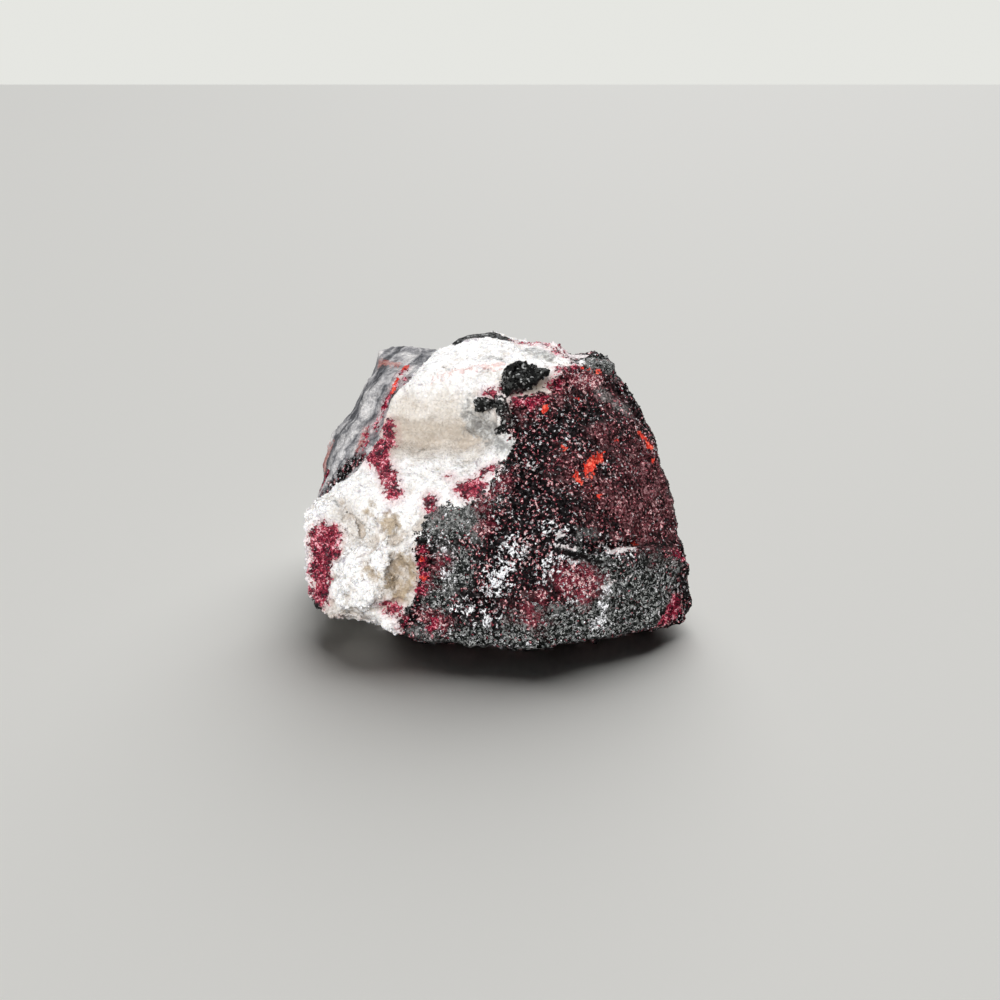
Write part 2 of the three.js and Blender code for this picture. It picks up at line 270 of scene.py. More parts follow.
    "rim": [
        (0.6, (9, 2.6, 31.8), (11, 2.4, 31.5)),
        (0.2, (5.8, -18.2, 15), (7.6, -18.7, 14.9), (9.4, -18.4, 14.3)),
        (0.22, (7.4, -17.5, 15.8), (9.6, -17.2, 15.2)),
        (0.4, (13.2, -16.3, 13.1), (14.7, -15.8, 13), (16.2, -15.1, 12.8)),
        (0.2, (12.6, -18.6, 9.6), (13.4, -18.2, 9.9), (14.6, -17.6, 10.2), (16.1, -16.7, 10.2)),
        (0.28, (3.1, -11.7, 22.6), (4.1, -12, 22.2)), (0.24, (4.7, -12.3, 21.9)),
        (0.16, (5.4, -12.7, 21.6), (7.4, -13.6, 20.4), (9, -14.4, 19.2)),
    ],
    "quartz": [
        (1.7, (-2, -7.7, 25.8), (-0.6, -7.8, 25.2)), (1, (0.2, -9.4, 24.2), (1, -10.2, 24)),
        (0.7, (-3.2, -7.4, 28.2), (-3, -7.8, 26.8)), (0.1, (-20, -11.4, 17.4), (-18, -12.6, 17.5)),
        (0.9, (4.4, 1, 32.6), (6.8, -0.6, 32.2)), (0.6, (-0.6, -3, 33.2), (1.6, -3.4, 33)),
        (1.6, (-7, 18.4, 17), (-8.4, 18.8, 15)), (1.3, (-13.6, 17, 10.6), (-13, 16.8, 7)),
    ],
    "dark": [
        (2.2, (2, -7.8, 31.3), (3.8, -7.6, 31.8)), (1, (5.1, -7.1, 31.9), (6, -6.7, 32.1)),
        (1.2, (-2, -8.8, 28.4), (-0.8, -8.8, 28.5)),
        (0.8, (0.6, -7.6, 28.6), (1.1, -8.9, 28), (1.3, -9.1, 26.6)),
        (0.7, (1.3, -9.1, 26.6), (0.7, -8.8, 25.3)), (0.7, (-4.8, 2.3, 33.3), (-3.4, 3, 33.7)),
        (1.2, (-3, 3.6, 33.7), (-0.8, 4.6, 33.8)), (0.7, (-0.8, 4, 33.8), (1.7, 4.1, 33.2)),
        (0.6, (-17, 9.6, 24.9), (-15, 6, 25)), (0.5, (-6.2, 16.2, 27), (-5, 17, 26.2), (-4.6, 17.2, 25.2)),
        (0.8, (-5.2, 16.8, 26.4)), (0.45, (-3, 18.2, 23.4), (-2.2, 18.6, 22.4)),
    ],
    # painted shade in the groove between the vein and the slab: the dark matrix shows there in place of the
    # slab's stripes
    "dusk": [
        (1, (-17.6, 0.6, 18.2), (-19.6, 0.2, 16.6), (-21, 0.2, 14.8), (-22, 0.4, 12)),
        (0.6, (-12.2, 4.6, 27.8), (-10, 4.6, 29.6)),
    ],
    # a real tan facet on the lump, and painted shade in the lump's right-hand hollow
    "tan": [
        (1.1, (-10.9, -17.6, 12.3), (-11.9, -18.2, 9.8)), (0.7, (-9.9, -17.7, 12.4), (-9.7, -17.6, 10)),
        (1.2, (-12.2, -15.7, 16.4)), (0.6, (-14.5, -14.4, 17.6)),
        (0.6, (-14.8, -18, 11.6), (-14, -18.4, 10.8)), (0.9, (-10.7, -17.8, 9.2), (-11.3, -18.2, 8)),
        (1.2, (-10.4, 17.6, 6), (-12, 16.4, 4)), (1, (-6, 12, 30)),
    ],
}


depthLimit = 6    # no material looks deeper than this


# Keeps each zone's depth as a number on the points, for the materials to read.
def storeZones(piece, depths):
    for name, depth in depths.items():
        layer = piece.data.attributes.new(name, "FLOAT", "POINT")
        layer.data.foreach_set("value", np.clip(depth, -depthLimit, depthLimit).astype(np.float32))


def measureZones(points):
    depths = {name: insideZone(points, strokes) for name, strokes in zones.items()}
    depths["slab"] = slabDepth(points)
    depths["vein"] = leftOfLine(points, contacts["vein"])
    return depths


# How far each point lies below the surface round it, from 0 to 1.
def hollowShare(piece, rounds, deepest):
    points = pointsOf(piece)
    ends = np.empty(len(piece.data.edges) * 2, int)
    piece.data.edges.foreach_get("vertices", ends)
    ends = ends.reshape(-1, 2)
    count = np.bincount(ends.ravel(), minlength=len(points))[:, None]
    calm = points.copy()
    for _ in range(rounds):
        total = np.zeros_like(calm)
        np.add.at(total, ends[:, 0], calm[ends[:, 1]])
        np.add.at(total, ends[:, 1], calm[ends[:, 0]])
        calm = 0.5 * calm + 0.5 * total / count
    below = np.sum((calm - points) * normalsOf(piece), axis=1)
    return np.clip(below / deepest, 0, 1)


# The stone: the CAD shape with its fractures, facets and single forms added.
stone = {
    "merge": 0.005,                     # corners of the CAD mesh as close as this become one
    "voxel": 0.3,
    # size, slope, step, seed
    "blocks": (2.6, 0.16, 0.12, 11),    # large fracture facets
    "chips": (1.0, 0.16, 0.03, 12),     # small ones
    "knobFacets": (1.5, 0.28, 0.08, 13),
    "facetRise": 0.25,                  # how steeply a facet rises from its middle to a ridge
    "facetsNear": 4,                    # facets that each point is tried against
    "veinShare": 0.5,                   # the vein breaks in softer facets than the matrix
    "contactEdge": (-0.3, 0.5),         # depths over which one rock gives way to the next
    "knobEdge": (-0.5, 0.3),
    "lumpTop": (19.5, 16.5),            # heights over which the shelf becomes the lump
    "crestFoot": (28.5, 31),            # heights over which the brow becomes the crest
    "crestFront": (-6.5, -4.5),         # and how far back the crest begins
    "weightSteps": 20,                  # vertex groups hold this many strengths
    "cloudDetail": 3,                   # depth of the cloud textures
    # rounds of calming, and the depth that counts as full, for the painted shade in hollows and pits
    "hollows": (24, 0.33),
    "pits": (5, 0.12),
    "pitShare": 0.7,                    # a pit colours less than a hollow
}

reliefs = [
    # zone, texture, size of its grains, height, middle
    ("all", "STUCCI", 1.8, 0.1, 0.5),
    ("matrix", "VORONOI", 0.7, 0.06, 0.35),
    ("lump", "CLOUDS", 2.4, 0.7, 0.5),
    ("lump", "CLOUDS", 1.1, 0.5, 0.5),
    ("lump", "VORONOI", 1.3, -0.7, 0.35),
    ("lump", "VORONOI", 0.6, -0.25, 0.35),
    ("crest", "CLOUDS", 1.6, 0.25, 0.5),
    ("brow", "CLOUDS", 0.8, 0.08, 0.5),
    ("slab", "CLOUDS", 1.2, 0.2, 0.5),
    ("knob", "VORONOI", 0.8, 0.3, 0.35),
]

# Single forms: height, where below zero is carved, width, and the places it runs through.
forms = [
    # the lump: groove under its band, pits at its top, hollow at its right, swellings, and its lower edge
    (-0.4, 1.2, (-20, -13, 13.9), (-15.5, -15.6, 14.3), (-11.4, -16.7, 14.4)),
    (-0.8, 0.9, (-18.4, -12.1, 17.6), (-17.4, -13.4, 16.8)),
    (-1.3, 1.2, (-17.3, -13.7, 16.2), (-16, -14.5, 14.8)),
    (-0.8, 1.6, (-11.6, -18, 12.6), (-11.2, -17.8, 10)),
    (-0.5, 0.8, (-10.4, -17.5, 11.6), (-11, -18, 9)),
    (0.7, 2.6, (-17.2, -16, 11), (-15, -17, 9)),
    (0.6, 1.6, (-21.3, -11, 15.4), (-19, -12.2, 16.4)),
    (-0.8, 1.7, (-22, -9, 17), (-19.8, -10.2, 18.1)),
    (-1, 1.5, (-17.6, -16.6, 4), (-15.9, -16.9, 4.2)),
    # white tongue under the lump, and the fold above it
    (0.7, 1.2, (-13.6, -17.6, 4.5), (-12.2, -18.2, 4)),
    (-0.8, 0.7, (-15, -17.2, 5.4), (-13.1, -17.9, 6.3), (-11.2, -18.4, 7.6)),
    # the ledge: its lip, the hollow under it, the crack behind it, and the block at its right
    (0.4, 0.5, (6.8, -18.2, 15), (9.5, -17.6, 14.3), (13, -16.4, 13.2)),
    (-0.6, 0.9, (8, -18.8, 13.9), (11, -18.2, 12.6), (12.6, -17.6, 12)),
    (-1, 0.6, (13.6, -15.4, 13.4), (17.5, -13, 13), (20.6, -12, 12.2)),
    (0.6, 1, (15.5, -15.6, 12), (18, -14, 11.9), (20.9, -12.7, 10.8)),
    (-0.6, 0.4, (17, -16, 10.8), (14.4, -17.5, 10.2), (14.2, -17.9, 8), (14.4, -18.2, 5.8)),
    # ridge across the matrix with a furrow under it, and low swellings
    (0.4, 0.7, (3, -11.9, 22.4), (6, -13.3, 21.1), (8.8, -14.2, 19.6), (12.3, -14.1, 17.4)),
    (-0.4, 0.7, (2.4, -12.6, 21.2), (5.6, -14, 20), (8.4, -15, 18.4), (12, -14.8, 16.2)),
    (-0.5, 1, (-6.3, -16.6, 14.7), (-4.6, -17.8, 12.7), (-2.8, -19.3, 10.3), (-1.7, -20.4, 7.6)),
    (0.4, 1.6, (9, -19.5, 11), (11, -19, 10)),
    (-0.3, 0.8, (4, -19, 12), (6.4, -20, 9)),
    # the brow's left side, the peak, and the crest beside it
    (-0.5, 1.5, (-10.6, -3.8, 30.2), (-9.2, -2.6, 31.4)),
    (-1, 2.3, (9.8, 1.6, 32.2), (13.8, 1, 32.4)),
    (-0.9, 2.2, (10, 3.8, 32.4), (13, 3.2, 32.4)),
    (-0.7, 1.1, (14.8, 0.6, 31.9)),
    (-0.4, 1, (9.4, -0.6, 32), (10.8, -0.6, 32.1)),
    # the right edge of the matrix
    (-0.4, 1.4, (17.6, -3.6, 25.6), (18.8, -4.4, 24)),
    (-0.5, 1.8, (19.8, -5.8, 21.2), (20.8, -6.8, 18.6)),
    (-0.4, 1.2, (22.3, -10.4, 11.6), (22, -9.6, 13.4)),
    # tip of the big knob, and the small knob at the contact
    (0.7, 0.8, (5.2, -7, 31.9), (6.4, -6.8, 32)),
    (0.4, 0.9, (0.6, -7.8, 28.4), (1.2, -9, 27)),
]


# Breaks the surface into tilted facets that meet in ridges, as a fracture does.
def breakFacets(points, normals, size, slope, step, seed):
    rng = np.random.default_rng(seed)
    order = rng.permutation(len(points))
    chosen = []
    kept = set()
    for index in order:
        cell = tuple(np.floor(points[index] / size).astype(int))
        if cell not in kept:
            kept.add(cell)
            chosen.append(index)
    tree = KDTree(len(chosen))
    for slot, index in enumerate(chosen):
        tree.insert(Vector(points[index]), slot)
    tree.balance()
    centres = points[chosen]
    tilts = rng.normal(0, slope, (len(chosen), 3))
    lifts = rng.uniform(-step, step, len(chosen))
    around = stone["facetsNear"]
    found = np.array([[hit[1] for hit in tree.find_n(Vector(point), around)] for point in points])
    heights = np.empty(found.shape)
    for column in range(found.shape[1]):
        near = found[:, column]
        offset = points - centres[near]
        offset -= normals * np.sum(offset * normals, axis=1)[:, None]
        rise = stone["facetRise"] * np.linalg.norm(offset, axis=1)
        heights[:, column] = lifts[near] + np.sum(tilts[near] * offset, axis=1) + rise
    return heights.min(axis=1)


def buildStone():
    makeActive(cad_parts["cinnabar_specimen"])
    bpy.ops.object.duplicate()
    piece = bpy.context.object
    piece.parent = None
    piece.name = "stone"
    for key in list(piece.keys()):
        del piece[key]
    bpy.ops.object.mode_set(mode="EDIT")
    bpy.ops.mesh.select_all(action="SELECT")
    bpy.ops.mesh.remove_doubles(threshold=stone["merge"] * mm)
    bpy.ops.object.mode_set(mode="OBJECT")
    applyModifier(piece, "REMESH", mode="VOXEL", voxel_size=stone["voxel"] * mm)
    print("stone remeshed to", len(piece.data.polygons), "faces")
    return piece


# How strongly each part of the stone is there at each point, from 0 to 1.
def weighZones(points):
    inVein = smooth(*stone["contactEdge"], leftOfLine(points, contacts["vein"]))
    inSlab = smooth(*stone["contactEdge"], slabDepth(points))
    low = smooth(*stone["lumpTop"], points[:, 2])
    high = smooth(*stone["crestFoot"], points[:, 2]) * smooth(*stone["crestFront"], points[:, 1])
    dark = smooth(*stone["knobEdge"], insideZone(points, zones["dark"]))
    white = inVein * (1 - inSlab) * (1 - dark)
    return {
        "all": np.ones(len(points)),
        "matrix": 1 - inVein,
        "lump": white * low,
        "crest": white * high,
        "brow": white * (1 - low) * (1 - high),
        "slab": inVein * inSlab,
        "knob": dark * (points[:, 1] < 0),
    }


def addRelief(piece):
    weights = weighZones(pointsOf(piece))
    steps = stone["weightSteps"]
    for zone, weight in weights.items():
        group = piece.vertex_groups.new(name=zone)
        for step in range(1, steps + 1):
            members = np.flatnonzero(np.round(weight * steps) == step)
            group.add(members.tolist(), step / steps, "REPLACE")
    for zone, texture, size, height, middle in reliefs:
        pattern = bpy.data.textures.new(zone + "Relief", texture)
        pattern.noise_scale = size * mm
        if texture == "CLOUDS":
            pattern.noise_depth = stone["cloudDetail"]
        applyModifier(piece, "DISPLACE", texture=pattern, texture_coords="LOCAL", direction="NORMAL",
                      strength=height * mm, mid_level=middle, vertex_group=zone)
    piece.vertex_groups.clear()
    points = pointsOf(piece)
    normals = normalsOf(piece)
    for height, width, *places in forms:
        near = smooth(0, 1, (width - awayFrom(points, places)) / width)
        points += normals * (height * near)[:, None]
    share = stone["veinShare"] + (1 - stone["veinShare"]) * weights["matrix"]
    rise = breakFacets(points, normals, *stone["blocks"]) + breakFacets(points, normals, *stone["chips"])
    rise = share * rise + weights["knob"] * breakFacets(points, normals, *stone["knobFacets"])
    moved = keepInBox(points + normals * rise[:, None])
    piece.data.vertices.foreach_set("co", (moved * mm).ravel())
    piece.data.update()
    print("stone relief done")
    return weights


# Crystals that stand out of the stone: one is modelled, and the others are its copies.
crystals = {
    "seed": 5,
    "cleaved": [((0.3, 0.3, 0.3), (1, 1, 0.8)), ((-0.3, 0, 0.3), (-1, 0.2, 0.9))],    # place and direction
    "widths": (0.6, 1),         # as shares of the size
    "sunk": 0.05,               # how deep their middles lie, as a share of the size
    "lowest": 0.6,              # none grow lower than this, where the stone rests
    "zoneEdge": (-0.4, 0.2),    # depths over which a zone's crystals come in
}

growths = {
    # zone: number, least and greatest size, thickness as a share of the size
    "veinCrystals": [
        ("lump", 1200, 0.2, 0.55, 0.8), ("crest", 160, 0.2, 0.5, 0.7), ("crimson", 800, 0.2, 0.42, 0.5),
    ],
    "matrixCrystals": [
        ("matrix", 3000, 0.12, 0.28, 0.6), ("frost", 400, 0.25, 0.45, 0.7), ("knob", 60, 0.3, 0.6, 0.5),
    ],
}


def buildCrystal():
    deselectAll()
    bpy.ops.mesh.primitive_cube_add(size=1)
    crystal = bpy.context.object
    bpy.ops.object.mode_set(mode="EDIT")
    for place, direction in crystals["cleaved"]:
        bpy.ops.mesh.select_all(action="SELECT")
        bpy.ops.mesh.bisect(plane_co=place, plane_no=direction, use_fill=True, clear_outer=True)
    bpy.ops.mesh.select_all(action="SELECT")
    bpy.ops.mesh.normals_make_consistent(inside=False)
    bpy.ops.object.mode_set(mode="OBJECT")
    corners = np.array([corner.co for corner in crystal.data.vertices])
    faces = [list(face.vertices) for face in crystal.data.polygons]
    bpy.ops.object.delete()
    return corners, faces


# Random turns, as one matrix for each crystal.
def randomTurns(rng, count):
    w, x, y, z = rng.normal(size=(count, 4)).T
    length = np.sqrt(w * w + x * x + y * y + z * z)
    w, x, y, z = w / length, x / length, y / length, z / length
    return np.stack([
        np.stack([1 - 2 * (y * y + z * z), 2 * (x * y - z * w), 2 * (x * z + y * w)], axis=1),
        np.stack([2 * (x * y + z * w), 1 - 2 * (x * x + z * z), 2 * (y * z - x * w)], axis=1),
        np.stack([2 * (x * z - y * w), 2 * (y * z + x * w), 1 - 2 * (x * x + y * y)], axis=1),
    ], axis=1)


def growCrystals(name, carrier, weights, depths):
    rng = np.random.default_rng(crystals["seed"])
    points = pointsOf(carrier)
    normals = normalsOf(carrier)
    corners, faces = buildCrystal()
    places = []
    copies = []
    for zone, count, least, greatest, thickness in growths[name]:
        weight = weights[zone] if zone in weights else smooth(*crystals["zoneEdge"], depths[zone])
        weight = weight * (points[:, 2] > crystals["lowest"])
        chosen = rng.choice(len(points), count, replace=False, p=weight / weight.sum())
        sizes = least + (greatest - least) * rng.random(count) ** 2    # squared, so that most are small
        widths = sizes * rng.uniform(*crystals["widths"], count)
        shapes = np.stack([sizes, widths, sizes * thickness], axis=1)
        centres = points[chosen] - normals[chosen] * (sizes * crystals["sunk"])[:, None]
        turned = np.einsum("nij,nkj->nki", randomTurns(rng, count), corners[None] * shapes[:, None])
        copies.append(centres[:, None] + turned)
        places.append(chosen)
    copies = np.concatenate(copies)
    places = np.concatenate(places)
    vertices = keepInBox(copies.reshape(-1, 3)) * mm
    starts = range(0, len(vertices), len(corners))
    allFaces = [[start + corner for corner in face] for start in starts for face in faces]
    mesh = bpy.data.meshes.new(name)
    mesh.from_pydata(vertices.tolist(), [], allFaces)
    mesh.update()
    piece = bpy.data.objects.new(name, mesh)
    bpy.context.scene.collection.objects.link(piece)
    ownDepths = {zone: np.repeat(depth[places], len(corners)) for zone, depth in depths.items()}
    storeZones(piece, ownDepths)
    print(name, "grown:", len(copies))
    return piece, ownDepths


def plug(tree, value, socket):
    if isinstance(value, bpy.types.NodeSocket):
        tree.links.new(value, socket)
    else:
        socket.default_value = value


def plugAll(tree, sockets, values):
    for name, value in values.items():
        plug(tree, value, sockets[name])


# The settings come first, because some of them change a node's sockets.
def addNode(tree, kind, values=None, **settings):
    made = tree.nodes.new("ShaderNode" + kind)
    for name, value in settings.items():
        setattr(made, name, value)
    plugAll(tree, made.inputs, values or {})
    return made


def calc(tree, operation, first, second=0.0):
    return addNode(tree, "Math", {0: first, 1: second}, operation=operation).outputs[0]


def plus(tree, first, second):
    return calc(tree, "ADD", first, second)


def minus(tree, first, second):
    return calc(tree, "SUBTRACT", first, second)


def times(tree, first, second):
    return calc(tree, "MULTIPLY", first, second)


def over(tree, first, second):
    return calc(tree, "DIVIDE", first, second)


# A noise lies round 0.5: this centres it on zero and gives it a height.
def swing(tree, value, height):
    return times(tree, minus(tree, value, 0.5), height)


# Sum of a group's inputs, each times its own share.
def weigh(tree, given, shares):
    total = 0.0
    for name, share in shares.items():
        total = plus(tree, total, times(tree, given[name], share))
    return total


def vectorCalc(tree, operation, first, second):
    made = addNode(tree, "VectorMath", {0: first, 1: second}, operation=operation)
    return made.outputs["Value" if operation == "DOT_PRODUCT" else "Vector"]


def scaled(tree, vector, scale):
    return addNode(tree, "VectorMath", {0: vector, "Scale": scale}, operation="SCALE").outputs["Vector"]


def ease(tree, value, low, high, start=0.0, end=1.0):
    values = {"Value": value, "From Min": low, "From Max": high, "To Min": start, "To Max": end}
    return addNode(tree, "MapRange", values, interpolation_type="SMOOTHSTEP").outputs["Result"]


# A Mix node's sockets go by number: 0 is the share, 2 and 3 mix numbers, 6 and 7 mix colours.
def mixNumber(tree, share, first, second):
    return addNode(tree, "Mix", {0: share, 2: first, 3: second}, data_type="FLOAT").outputs[0]


def mixColour(tree, share, first, second, kind="MIX"):
    values = {0: share, 6: first, 7: second}
    return addNode(tree, "Mix", values, data_type="RGBA", blend_type=kind).outputs[2]


# Lays a colour over another where a mask is, as strongly as share says.
def cover(tree, base, mask, share, colour, kind="MIX"):
    return mixColour(tree, times(tree, mask, share), base, colour, kind)


# Each stop is its place and its red, green and blue.
def ramp(tree, value, stops, interpolation="LINEAR"):
    made = addNode(tree, "ValToRGB", {"Fac": value})
    made.color_ramp.interpolation = interpolation
    elements = made.color_ramp.elements
    while len(elements) < len(stops):
        elements.new(0.5)
    for element, (place, *colour) in zip(elements, stops):
        element.position = place
        element.color = (*colour, 1)
    return made.outputs["Color"]


def stepped(tree, value, stops):
    return ramp(tree, value, stops, "CONSTANT")


def noise(tree, vector, size, detail=3.0, roughness=0.55, distortion=0.0):
    values = {"Vector": vector, "Scale": 1 / size, "Detail": detail, "Roughness": roughness,
              "Distortion": distortion}
    return addNode(tree, "TexNoise", values).outputs["Fac"]


# Sockets are numbers, but for these.
socketKinds = {"Vector": "Vector", "Color": "Color", "Rock": "Color"}


def newGroup(name, inputs, outputs):
    tree = bpy.data.node_groups.new(name, "ShaderNodeTree")
    for side, titles in (("INPUT", inputs), ("OUTPUT", outputs)):
        for title in titles:
            kind = "NodeSocket" + socketKinds.get(title, "Float")
            tree.interface.new_socket(name=title, in_out=side, socket_type=kind)
    return tree, tree.nodes.new("NodeGroupInput").outputs, tree.nodes.new("NodeGroupOutput").inputs


def fillGroup(tree, group, values):
    return addNode(tree, "Group", values, node_tree=group).outputs


# A ragged mask from a zone's depth: a wave moves its edge, and grit breaks it into grains.
def raggedGroup():
    titles = ["Depth", "Wave", "Grit", "Ragged", "Gritty", "Soft"]
    tree, given, result = newGroup("raggedZone", titles, ["Mask"])
    broad = swing(tree, given["Wave"], given["Ragged"])
    fine = swing(tree, given["Grit"], given["Gritty"])
    moved = plus(tree, given["Depth"], times(tree, plus(tree, broad, fine), looks["push"]))
    plug(tree, ease(tree, moved, times(tree, given["Soft"], -1.0), given["Soft"]), result["Mask"])
    return tree


grainLook = {
    "wobblePitch": 0.8,    # waves along an edge for each grain
    "wobble": 1.6,         # how far the waves push the edges, in grain sizes
    "lean": 2.0,
    "middle": (0.5, 0.5, 0.5),
}


# Angular grains: two random numbers per grain and a height that tilts each one its own way.
def grainGroup():
    look = grainLook
    tree, given, result = newGroup("mineralGrains", ["Vector", "Size", "Tilt"], ["Pick", "Other", "Height"])
    size = given["Size"]
    waves = addNode(tree, "TexNoise", {"Vector": given["Vector"], "Detail": 2.0,
                                       "Scale": over(tree, look["wobblePitch"], size)})
    push = vectorCalc(tree, "SUBTRACT", waves.outputs["Color"], look["middle"])
    push = scaled(tree, push, times(tree, size, look["wobble"]))
    moved = vectorCalc(tree, "ADD", given["Vector"], push)
    grain = addNode(tree, "TexVoronoi", {"Vector": moved, "Scale": over(tree, 1.0, size)}).outputs
    offset = vectorCalc(tree, "SUBTRACT", moved, grain["Position"])
    lean = vectorCalc(tree, "SUBTRACT", grain["Color"], look["middle"])
    slope = vectorCalc(tree, "DOT_PRODUCT", offset, lean)
    parts = addNode(tree, "SeparateColor", {"Color": grain["Color"]}).outputs
    height = times(tree, slope, times(tree, given["Tilt"], look["lean"]))
    plugAll(tree, result, {"Pick": parts["Red"], "Other": parts["Green"], "Height": height})
    return tree


fleckLook = {
    "core": 0.6,            # share of a line's width that has its full strength
    "gatePitch": 0.8,       # waves of the second noise for each of the first
    "patches": (2.4, 2.0),
    "patchHeight": 0.3,
    "edge": 0.01,           # softness of the level that the second noise passes
    "toneRange": 0.12,      # how far past the level the tone reaches its end
}


# Small squirming flecks: thin lines of one noise, kept where a second passes a level. Amount adds more.
def fleckGroup():
    look = fleckLook
    titles = ["Vector", "Size", "Width", "Level", "Amount", "Seed"]
    tree, given, result = newGroup("flecks", titles, ["Mask", "Tone"])
    moved = vectorCalc(tree, "ADD", given["Vector"], given["Seed"])
    scale = over(tree, 1.0, given["Size"])
    values = {"Vector": moved, "Detail": 1.0, "Scale": scale, "Distortion": 1.0}
    worm = addNode(tree, "TexNoise", values).outputs["Fac"]
    away = calc(tree, "ABSOLUTE", minus(tree, worm, 0.5))
    line = ease(tree, away, times(tree, given["Width"], look["core"]), given["Width"], 1.0, 0.0)
    values = {"Vector": moved, "Detail": 1.0, "Scale": times(tree, scale, look["gatePitch"])}
    gate = addNode(tree, "TexNoise", values).outputs["Fac"]
    spread = swing(tree, noise(tree, moved, *look["patches"]), look["patchHeight"])
    value = plus(tree, plus(tree, gate, spread), given["Amount"])
    above = minus(tree, value, given["Level"])
    mask = times(tree, ease(tree, above, -look["edge"], look["edge"]), line)
    plugAll(tree, result, {"Mask": mask, "Tone": ease(tree, above, 0.0, look["toneRange"])})
    return tree


# Ramps are lists of stops. Noises are size, detail, roughness and distortion.
matrixLook = {
    "black": [(0, 0.0015, 0.001, 0.0013), (0.5, 0.006, 0.005, 0.0055), (0.78, 0.015, 0.012, 0.013),
              (0.92, 0.04, 0.032, 0.034)],
    "slaty": [(0, 0.003, 0.0035, 0.003), (0.4, 0.009, 0.011, 0.01), (0.68, 0.03, 0.034, 0.032),
              (0.9, 0.18, 0.19, 0.185)],
    # black of the knobs, whose palest steps are painted glints
    "sooty": [(0, 0.001, 0.001, 0.001), (0.45, 0.005, 0.0055, 0.005), (0.72, 0.05, 0.052, 0.05),
              (0.9, 0.32, 0.325, 0.32)],
    "wine": [(0.4, 0.003, 0.002, 0.002), (0.48, 0.035, 0.011, 0.013), (0.56, 0.13, 0.034, 0.042),
             (0.66, 0.34, 0.18, 0.19)],
    "grey": [(0.38, 0.03, 0.033, 0.032), (0.48, 0.13, 0.135, 0.13), (0.6, 0.48, 0.48, 0.47)],
    "ground": [(0.4, 0.03, 0.006, 0.01), (0.52, 0.2, 0.022, 0.04), (0.64, 0.42, 0.08, 0.11)],
    "blush": [(0, 0.12, 0.014, 0.024), (0.45, 0.4, 0.07, 0.095), (0.8, 0.66, 0.27, 0.29),
              (1, 0.84, 0.56, 0.56)],
    "fibreColour": (0.45, 0.46, 0.45, 1),
    "whites": ((0.3, 0.29, 0.31, 1), (0.97, 0.97, 0.99, 1)),
    "frostColour": (0.8, 0.82, 0.86, 1),
    "shares": {"Slate": 0.95, "Haze": 0.9, "Grey": 0.55, "Rose": 0.75},
    "cloud": (0.36, 3.0, 0.7, 0.6),
    "drift": (1.7, 2.0),
    "driftHeight": 0.4,
    "fibre": {"Size": 0.34, "Width": 0.055, "Level": 0.5, "Seed": 43.0},
    "rose": {"Size": 0.36, "Width": 0.08, "Level": 0.565, "Seed": 7.0},
    "white": {"Size": 0.32, "Level": 0.61, "Seed": 19.0},
    "whiteWidth": 0.075,
    "frostWidth": 0.08,     # how much wider the white flecks are in frost
    # how much more of the flecks there is in each zone
    "roseMore": {"Rose": 0.16, "Haze": 0.02, "Slate": -0.12},
    "whiteMore": {"Frost": 0.2, "Haze": -0.07},
    "frostCloud": 1.6,
    "frostEdge": (1.9, 1.98),
    "fleckHeight": 0.06,
    "roughness": (0.25, 0.75),
}


# Dark matrix: near-black hornfels with rose, white and wine-red flecks, greyer in its slaty patches.
def matrixGroup(flecks):
    look = matrixLook
    titles = ["Vector", "Pick", "Other", "Grain", "Haze", "Rose", "Frost", "Slate", "Grey", "Dark"]
    tree, given, result = newGroup("darkMatrix", titles, ["Color", "Roughness", "Height"])
    vector = given["Vector"]
    cloud = noise(tree, vector, *look["cloud"])
    drift = swing(tree, noise(tree, vector, *look["drift"]), look["driftHeight"])
    fibre = fillGroup(tree, flecks, {"Vector": vector, **look["fibre"]})
    slaty = mixColour(tree, fibre["Mask"], stepped(tree, given["Other"], look["slaty"]), look["fibreColour"])
    wine = ramp(tree, plus(tree, cloud, drift), look["wine"])

    def patch(base, title, colour):
        return cover(tree, base, given[title], look["shares"][title], colour)

    base = patch(stepped(tree, given["Pick"], look["black"]), "Slate", slaty)
    # The knobs are black, with painted glints on their palest grains.
    base = mixColour(tree, given["Dark"], base, stepped(tree, given["Pick"], look["sooty"]))
    base = patch(base, "Haze", wine)
    base = patch(base, "Grey", ramp(tree, cloud, look["grey"]))
    base = patch(base, "Rose", ramp(tree, cloud, look["ground"]))
    bare = minus(tree, 1.0, given["Dark"])
    rose = fillGroup(tree, flecks, {"Vector": vector, "Amount": weigh(tree, given, look["roseMore"]),
                                    **look["rose"]})
    base = cover(tree, base, rose["Mask"], bare, ramp(tree, rose["Tone"], look["blush"]))
    width = plus(tree, times(tree, given["Frost"], look["frostWidth"]), look["whiteWidth"])
    white = fillGroup(tree, flecks, {"Vector": vector, "Amount": weigh(tree, given, look["whiteMore"]),
                                     "Width": width, **look["white"]})
    base = cover(tree, base, white["Mask"], bare, mixColour(tree, white["Tone"], *look["whites"]))
    frosty = plus(tree, given["Frost"], times(tree, cloud, look["frostCloud"]))
    base = mixColour(tree, ease(tree, frosty, *look["frostEdge"]), base, look["frostColour"])
    raised = times(tree, plus(tree, rose["Mask"], white["Mask"]), look["fleckHeight"])
    plugAll(tree, result, {"Color": base, "Height": plus(tree, given["Grain"], raised),
                           "Roughness": ease(tree, given["Other"], 0.0, 1.0, *look["roughness"])})
    return tree


